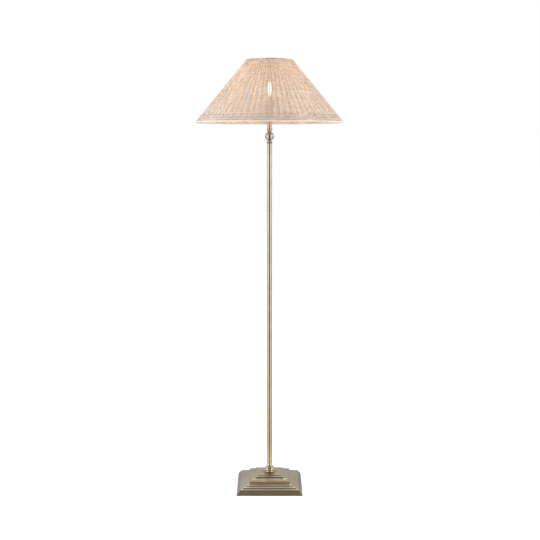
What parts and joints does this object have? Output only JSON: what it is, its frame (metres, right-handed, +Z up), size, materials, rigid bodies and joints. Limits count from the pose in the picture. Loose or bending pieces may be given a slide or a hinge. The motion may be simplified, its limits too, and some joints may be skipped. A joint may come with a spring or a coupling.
{
  "type": "floor lamp",
  "caption": "Floor lamp with a conical woven rattan shade, a slim brass stem broken by a clear glass ball, and a stepped square brass base.",
  "frame": {"origin": "on the floor, under the middle of the base", "axes": "+Z up along the stem, +Y to the back, where the cable bush is, and -Y to the front, +X to the right seen from the front"},
  "size_m": [0.5108, 0.5108, 1.5011],
  "materials": {
    "base_brass": "antique brass, dulled and polished, bright on its edges",
    "stem_brass": "satin brass",
    "plain_brass": "turned brass",
    "steel": "zinc plated",
    "iron": "as cast",
    "felt": "pressed felt",
    "black_plastic": "matt",
    "fibre": "pressed fibre",
    "ball_glass": "clear, polished",
    "porcelain": "glazed porcelain",
    "bulb_glass": "clear, lit from inside",
    "filament": "glowing",
    "wire": "cream coating",
    "rattan": "peeled rattan, unvarnished",
    "rattan_border": "peeled rattan, unvarnished"
  },
  "bodies": {
    "stand": {"base_felt": "felt", "base_plate": "steel", "plate_screw_1": "steel", "plate_screw_2": "steel", "plate_screw_3": "steel", "plate_screw_4": "steel", "base_weight": "iron", "base_shell": "base_brass", "cable_bush": "black_plastic", "earth_terminal": "plain_brass", "base_nut": "steel", "base_washer": "steel", "base_rod": "steel", "foot_collar": "stem_brass", "foot_plug": "plain_brass", "lower_tube": "stem_brass", "middle_tube": "stem_brass", "upper_tube": "stem_brass", "lower_coupler": "plain_brass", "upper_coupler": "plain_brass", "top_plug": "plain_brass", "ball_rod": "stem_brass", "lower_ball_collar": "stem_brass", "lower_ball_washer": "fibre", "glass_ball": "ball_glass", "upper_ball_washer": "fibre", "upper_ball_collar": "stem_brass", "neck_tube": "stem_brass", "holder_cap": "plain_brass", "holder_body": "plain_brass", "holder_insert": "porcelain", "socket_shell": "plain_brass", "centre_contact": "plain_brass"},
    "shade_clamp": {"shade_ring": "plain_brass"},
    "bulb": {"bulb_contact": "steel", "bulb_cap": "steel", "bulb_glass": "bulb_glass", "bulb_filament": "filament"},
    "shade": {"fitter_ring": "wire", "fitter_arm_1": "wire", "fitter_arm_2": "wire", "fitter_arm_3": "wire", "crown_wire": "wire", "rim_wire": "wire", "rib_wire_1": "wire", "rib_wire_2": "wire", "rib_wire_3": "wire", "rib_wire_4": "wire", "rib_wire_5": "wire", "rib_wire_6": "wire", "woven_wall": "rattan", "crown_border": "rattan_border", "rim_border": "rattan_border"}
  },
  "joints": [
    {"name": "shade_turn", "type": "hinge", "parent": "stand", "child": "shade", "pos_m": [0, 0, 1.348], "axis": [0, 0, 1], "continuous": true},
    {"name": "clamp_turn", "type": "hinge", "parent": "stand", "child": "shade_clamp", "pos_m": [0, 0, 1.3525], "axis": [0, 0, 1], "continuous": true},
    {"name": "bulb_turn", "type": "hinge", "parent": "stand", "child": "bulb", "pos_m": [0, 0, 1.356], "axis": [0, 0, 1], "continuous": true}
  ]
}
